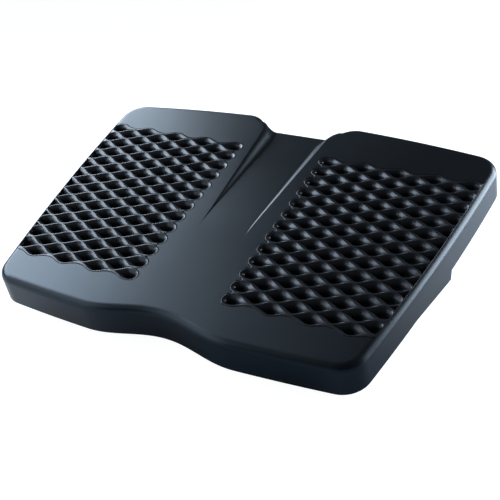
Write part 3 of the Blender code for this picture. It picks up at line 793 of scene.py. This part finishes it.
def tread(word, side):
    """One lattice: a stack of lines for each cell, a rounded rim, the crest and the underside."""
    sheet = Sheet()
    edge = mirrored(TREAD_EDGE, side)
    crest_holes, openings = [], []
    for points, middle in CELLS:
        rows = [(mirrored(scaled(points, middle, share), side), z) for share, z in FLANK]
        crest_holes.append(rows[0][0])
        openings.append(rows[-1][0])
        bend = [top_height(x, y) for x, y in rows[0][0]]
        for (upper, z0), (lower, z1) in zip(rows, rows[1:]):
            fade0 = 1.0 + z0 / TREAD_DEPTH
            fade1 = 1.0 + z1 / TREAD_DEPTH
            sheet.band([(*p, z0 + b * fade0) for p, b in zip(upper, bend)],
                       [(*p, z1 + b * fade1) for p, b in zip(lower, bend)])
    rows = [(rim_line(edge, out), z) for out, z in EDGE_ROUND]
    bend = [top_height(x, y) for x, y in edge]
    for (upper, z0), (lower, z1) in zip(rows[::-1], rows[-2::-1]):
        sheet.band([(*p, z0 + b) for p, b in zip(upper, bend)],
                   [(*p, z1 + b) for p, b in zip(lower, bend)])
    sheet.band([(*p, EDGE_ROUND[0][1] + b) for p, b in zip(edge, bend)],
               [(*p, -TREAD_DEPTH) for p in edge])
    crest = rows[-1][0]
    holes = [(hole, [top_height(x, y) for x, y in hole]) for hole in crest_holes]
    known = heights_by_place([(crest, bend)] + holes)
    spots, faces = filled(crest, crest_holes)
    tops = []
    for x, y in spots:
        height = known.get((round(x * MICROMETRES), round(y * MICROMETRES)))
        tops.append(top_height(x, y) if height is None else height)
    for face in faces:
        sheet.face([sheet.at(*spots[i], tops[i]) for i in face])
    spots, faces = filled(edge, openings)
    for face in faces:
        sheet.face([sheet.at(*spots[i], -TREAD_DEPTH) for i in reversed(face)])
    return made_piece(word, sheet.bm, sharp=55.0, weighted=False)


left_lattice = tread("left_lattice", -1)
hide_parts("left_tread")
right_lattice = tread("right_lattice", 1)
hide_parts("right_tread")

# %% [markdown]
# ## Finishes
# Shader maths reads best as a formula. The small class below wraps the output of a node, so
# that `0.3 + 0.1 * grain` adds the Math nodes that say it. Every other node comes from one
# method, which takes the node's type, the values of its sockets and its settings. Writing each
# node and link out would do the same in five times the lines.


# %% a formula on sockets
class Value:
    """The output of a node, which can be added, taken away, multiplied and raised."""

    def __init__(self, finish, socket):
        self.finish = finish
        self.socket = socket

    def _maths(self, operation, first, second):
        node = self.finish.node("ShaderNodeMath", {0: first, 1: second}, operation=operation)
        return Value(self.finish, node.outputs[0])

    def __add__(self, other):
        return self._maths("ADD", self, other)

    def __radd__(self, other):
        return self._maths("ADD", other, self)

    def __sub__(self, other):
        return self._maths("SUBTRACT", self, other)

    def __rsub__(self, other):
        return self._maths("SUBTRACT", other, self)

    def __mul__(self, other):
        return self._maths("MULTIPLY", self, other)

    def __rmul__(self, other):
        return self._maths("MULTIPLY", other, self)

    def __pow__(self, other):
        return self._maths("POWER", self, other)


class Finish:
    """The nodes of a material or of the air, and the place that they are worked out for."""

    def __init__(self, owner, coordinates="Object"):
        owner.use_nodes = True
        self.owner = owner
        self.tree = owner.node_tree
        self.shader = self.tree.nodes.get("Principled BSDF")
        self.place = self.node("ShaderNodeTexCoord").outputs[coordinates]

    def node(self, kind, values=None, **settings):
        """Any node, with the values of its sockets and its own settings."""
        made = self.tree.nodes.new(kind)
        for key, setting in settings.items():
            setattr(made, key, setting)
        for key, value in (values or {}).items():
            self.put(made.inputs[key], value)
        return made

    def put(self, socket, value):
        """Links a socket to another one, or gives it a plain value."""
        if isinstance(value, Value):
            value = value.socket
        if isinstance(value, bpy.types.NodeSocket):
            self.tree.links.new(value, socket)
        else:
            socket.default_value = value

    def noise(self, scale, detail=2.0, place=None):
        values = {"Vector": place or self.place, "Scale": scale, "Detail": detail}
        return Value(self, self.node("ShaderNodeTexNoise", values).outputs["Fac"])

    def stretched(self, scale):
        """The place with each axis scaled on its own, for a grain with a direction."""
        made = self.node("ShaderNodeMapping", {"Vector": self.place, "Scale": scale})
        return made.outputs["Vector"]

    def along(self, axis, start, end):
        """0 where a coordinate is at its start and 1 where it is at its end, and level beyond."""
        parts = self.node("ShaderNodeSeparateXYZ", {"Vector": self.place})
        values = {"Value": parts.outputs[axis], "From Min": start, "From Max": end}
        return Value(self, self.node("ShaderNodeMapRange", values).outputs["Result"])

    def seen_white(self, in_gloss):
        """1 for rays from the camera or through something clear, less for rays off gloss."""
        path = self.node("ShaderNodeLightPath")
        camera, through, gloss = (Value(self, path.outputs[f"Is {kind} Ray"])
                                  for kind in ("Camera", "Transmission", "Glossy"))
        return camera + through + gloss * in_gloss

    def finished(self, plain, white, share):
        """Sends a mix of two shaders to the output."""
        both = self.node("ShaderNodeMixShader", {0: share, 1: plain, 2: white})
        output = next(n for n in self.tree.nodes if n.type.startswith("OUTPUT"))
        self.put(output.inputs["Surface"], both.outputs[0])

    def colour(self, low, high, mask):
        """A mix of two colours. The node's sockets 6, 7 and 2 are those for colours."""
        values = {0: mask, 6: (*low, 1.0), 7: (*high, 1.0)}
        return self.node("ShaderNodeMix", values, data_type="RGBA").outputs[2]

    def bump(self, height, strength, distance):
        values = {"Height": height, "Strength": strength, "Distance": distance}
        return self.node("ShaderNodeBump", values).outputs["Normal"]


print("formula class ready")

# %% [markdown]
# ## Moulded plastic
# The shell came out of an etched mould: it is near black with a little blue, satin rather than
# glossy, with a fine even grain. The treads come from a smoother part of the mould. Grain could
# be painted with a picture, but two noises, one for the grain and one for the slow change of
# gloss across a large moulding, say it with no picture and hold at any distance.


# %% plastic finishes
# Both tints are painted light: they give the plastic's reflections the cool colour of the studio
# light, and the treads' weaker tint also dims their highlights.
PAINTED_COOL_REFLECTION = (0.66, 0.83, 1.0)
PAINTED_DIM_COOL_REFLECTION = (0.55, 0.60, 0.67)


def moulded(name, dark, light, gloss, spread, grain_size, grain_height, painted_tint):
    """Moulded plastic: a grain, and a slow change of colour and gloss across the piece."""
    made = Finish(bpy.data.materials.new(name))
    slow = made.noise(9.0, 3.0)
    grain = made.noise(1.0 / grain_size, 2.0)
    made.put(made.shader.inputs["Base Color"], made.colour(dark, light, slow * 0.7 + grain * 0.3))
    roughness = gloss + (slow - 0.5) * spread + (grain - 0.5) * spread
    made.put(made.shader.inputs["Roughness"], roughness)
    made.put(made.shader.inputs["Normal"], made.bump(grain, 0.5, grain_height))
    made.shader.inputs["IOR"].default_value = 1.50
    # Painted light: the specular tint colours reflections like the cool studio light.
    made.shader.inputs["Specular Tint"].default_value = (*painted_tint, 1.0)
    return made.owner


shell_finish = moulded("etched_shell_plastic", (0.0030, 0.0042, 0.0062), (0.0060, 0.0075, 0.0105),
                       0.32, 0.10, 0.0011, 0.00010, PAINTED_COOL_REFLECTION)
tread_finish = moulded("smooth_tread_plastic", (0.012, 0.013, 0.016), (0.019, 0.021, 0.025),
                       0.245, 0.06, 0.0008, 0.00004, PAINTED_DIM_COOL_REFLECTION)
frame_finish = moulded("frame_plastic", (0.011, 0.012, 0.014), (0.020, 0.021, 0.024),
                       0.42, 0.12, 0.0013, 0.00014, PAINTED_COOL_REFLECTION)
print("plastic finishes:", shell_finish.name, tread_finish.name, frame_finish.name)

# %% [markdown]
# ## Metal, fibre and rubber
# Below the platform there are turned steel screws, a drawn steel shaft, blackened springs,
# fibre washers and rubber feet. Drawn steel has fine lines along its length, so its noise is
# stretched along the shaft. Rubber has no gloss to speak of and a soft, slightly dusty skin.


# %% metal, fibre and rubber finishes
LINE_GLOSS = 0.18
LINE_HEIGHT = 0.00005
DUST_SCALE = 60.0
DUST_GLOSS = 0.15


def steel(name, dark, light, gloss, stretch):
    """Worked steel with fine lines, which stretch says the direction of."""
    made = Finish(bpy.data.materials.new(name))
    lines = made.noise(1.0, 3.0, made.stretched(stretch))
    made.put(made.shader.inputs["Base Color"], made.colour(dark, light, lines))
    made.put(made.shader.inputs["Roughness"], gloss + lines * LINE_GLOSS)
    made.put(made.shader.inputs["Normal"], made.bump(lines, 0.3, LINE_HEIGHT))
    made.shader.inputs["Metallic"].default_value = 1.0
    return made.owner


def matt(name, dark, light, gloss, grain_size, grain_height):
    """A dull skin with a grain and a little dust."""
    made = Finish(bpy.data.materials.new(name))
    grain = made.noise(1.0 / grain_size, 4.0)
    dust = made.noise(DUST_SCALE, 4.0)
    made.put(made.shader.inputs["Base Color"], made.colour(dark, light, grain * 0.5 + dust * 0.5))
    made.put(made.shader.inputs["Roughness"], gloss + dust * DUST_GLOSS)
    made.put(made.shader.inputs["Normal"], made.bump(grain, 0.6, grain_height))
    return made.owner


screw_finish = steel("turned_screw_steel", (0.42, 0.42, 0.41), (0.62, 0.62, 0.60),
                     0.22, (900, 900, 900))
shaft_finish = steel("drawn_shaft_steel", (0.45, 0.45, 0.45), (0.62, 0.62, 0.61),
                     0.20, (40, 2600, 2600))
spring_finish = steel("spring_steel", (0.30, 0.30, 0.32), (0.46, 0.46, 0.48),
                      0.26, (1500, 60, 1500))
washer_finish = matt("washer_fibre", (0.045, 0.043, 0.042), (0.075, 0.072, 0.070),
                     0.60, 0.0009, 0.0002)
rubber_finish = matt("foot_rubber", (0.012, 0.012, 0.012), (0.024, 0.024, 0.024),
                     0.72, 0.0012, 0.0002)
print("five more finishes")

# %% [markdown]
# ## Handing out the finishes
# A part's name says what it is, so the first word that fits decides. Listing all 38 parts by
# hand would be longer and no clearer.

# %% finishes by name
BY_WORD = (("screw", screw_finish), ("detent_spring", spring_finish),
           ("retaining_ring", spring_finish), ("shaft", shaft_finish),
           ("washer", washer_finish), ("foot", rubber_finish), ("", frame_finish))


def dressed(piece, finish):
    piece.data.materials.clear()
    piece.data.materials.append(finish)


for name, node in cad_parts.items():
    dressed(node, next(finish for word, finish in BY_WORD if word in name))
dressed(shell, shell_finish)
dressed(left_lattice, tread_finish)
dressed(right_lattice, tread_finish)
print("dressed", len(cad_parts) + 3, "pieces")

# %% [markdown]
# ## Floor, light and air
# The footrest stands on a white sweep in a studio. The floor is white to the camera, and what
# light it sends back to the object is faint and cool. A glossy face sees the floor's white only
# in part: 30 per cent of it behind the object, and painted pools of lamplight, up to 50 behind
# its right side and up to 75 at its front left. With the full white, the skirt and the back
# edges would be far paler than in the photograph; a grey floor would dim them too, but then
# the background would be grey.

# %% floor
FLOOR_REACH = 6.0
FLOOR_DROP = 0.0002
FLOOR_GLOW = 0.97
# How much of the floor's white a glossy face sees, at most, in three places; the second and third
# are painted pools of lamplight.
SHARE_BEHIND = 0.30
PAINTED_POOL_RIGHT_REAR = 0.20
PAINTED_POOL_FRONT_LEFT = 0.75


def floor_piece():
    """A square of white sweep, with the share of its white that each place shows to gloss; two
    pools of that share are painted lamplight.
    """
    mesh = bpy.data.meshes.new("studio_floor")
    square = ((-1, -1), (1, -1), (1, 1), (-1, 1))
    corners = [(x * FLOOR_REACH, y * FLOOR_REACH, 0) for x, y in square]
    mesh.from_pydata(corners, [], [(0, 1, 2, 3)])
    made = bpy.data.objects.new("studio_floor", mesh)
    bpy.context.scene.collection.objects.link(made)
    finish = Finish(bpy.data.materials.new("white_sweep"))
    tint = finish.noise(3.0)
    sweep = finish.colour((0.28, 0.345, 0.42), (0.30, 0.365, 0.44), tint)
    finish.put(finish.shader.inputs["Base Color"], sweep)
    finish.shader.inputs["Roughness"].default_value = 0.9
    finish.shader.inputs["Specular IOR Level"].default_value = 0.0
    glow = finish.node("ShaderNodeEmission", {"Color": (1, 1, 1, 1), "Strength": FLOOR_GLOW})
    both = finish.node("ShaderNodeAddShader", {0: finish.shader.outputs[0], 1: glow.outputs[0]})
    behind = finish.along("Y", -0.10, 0.20) * SHARE_BEHIND
    # Painted light: two pools of lamplight on the floor, seen only in glossy faces.
    painted_right_rear_pool = finish.along("X", 0.18, 0.26) * finish.along("Y", -0.12, 0.04)
    painted_front_left_pool = finish.along("X", 0.04, -0.24) ** 1.6 * finish.along("Y", -0.02, -0.12)
    in_gloss = behind + painted_right_rear_pool * PAINTED_POOL_RIGHT_REAR + painted_front_left_pool * PAINTED_POOL_FRONT_LEFT
    share = finish.seen_white(in_gloss)
    finish.finished(finish.shader.outputs[0], both.outputs[0], share)
    mesh.materials.append(finish.owner)
    return made


floor = floor_piece()
floor.location.z = -FLOOR_DROP
print("floor is", round(floor.dimensions.x), "m wide")


# %% [markdown]
# Three soft lamps light the object. A large one low at the left gives the pale sheen on the
# left lobe, a second one at the right rear lights the right skirt, and a faint one fills in
# from the front left. A photographer would use softboxes, which are area lamps of the same
# size. None stands overhead, so that the right lobe stays dark.


# %% soft lamps
def lamp(name, place, target, width, height, watts, colour):
    """A softbox: a rectangular lamp at one place that faces another."""
    data = bpy.data.lights.new(name, "AREA")
    data.shape = "RECTANGLE"
    data.size = width
    data.size_y = height
    data.energy = watts
    made = bpy.data.objects.new(name, data)
    made.location = place
    made.rotation_mode = "QUATERNION"
    made.rotation_quaternion = (Vector(target) - Vector(place)).to_track_quat("-Z", "Y")
    made.visible_camera = False
    data.color = colour
    bpy.context.scene.collection.objects.link(made)
    return made


lamp("left_softbox", (-1.05, 0.30, 0.86), (0.0, 0.30, 0.86),
     1.46, 0.90, 35.0, (0.77, 0.885, 1.0))
lamp("right_softbox", (0.82, 0.66, 0.37), (0.25, 0.0, 0.12),
     0.78, 0.72, 18.5, (0.84, 0.92, 1.0))
lamp("front_fill", (-0.85, -0.75, 0.50), (-0.15, 0.0, 0.08),
     0.9, 0.8, 3.4, (0.86, 0.93, 1.0))
print("two soft lamps and a faint one")

# %% [markdown]
# The air stands for the studio's backdrop. The camera sees it white, the object gets very
# little light from it, and glossy faces see a trace of its white low down behind the object.

# %% air
AIR_LIGHT = 0.06
BACKDROP_SHARE = 0.05

air = Finish(bpy.data.worlds.new("studio_air"), "Generated")
bpy.context.scene.world = air.owner
dim = air.tree.nodes["Background"]
air.put(dim.inputs["Color"], (1.0, 1.0, 1.0, 1.0))
air.put(dim.inputs["Strength"], AIR_LIGHT)
white = air.node("ShaderNodeBackground", {"Color": (1.0, 1.0, 1.0, 1.0), "Strength": 1.0})
backdrop = air.along("Y", 0.0, 0.5) * air.along("Z", 0.30, 0.05)
air.finished(dim.outputs[0], white.outputs[0], air.seen_white(backdrop * BACKDROP_SHARE))
bpy.context.scene.view_settings.view_transform = "Standard"
print("air is white to the camera and dim to the object")
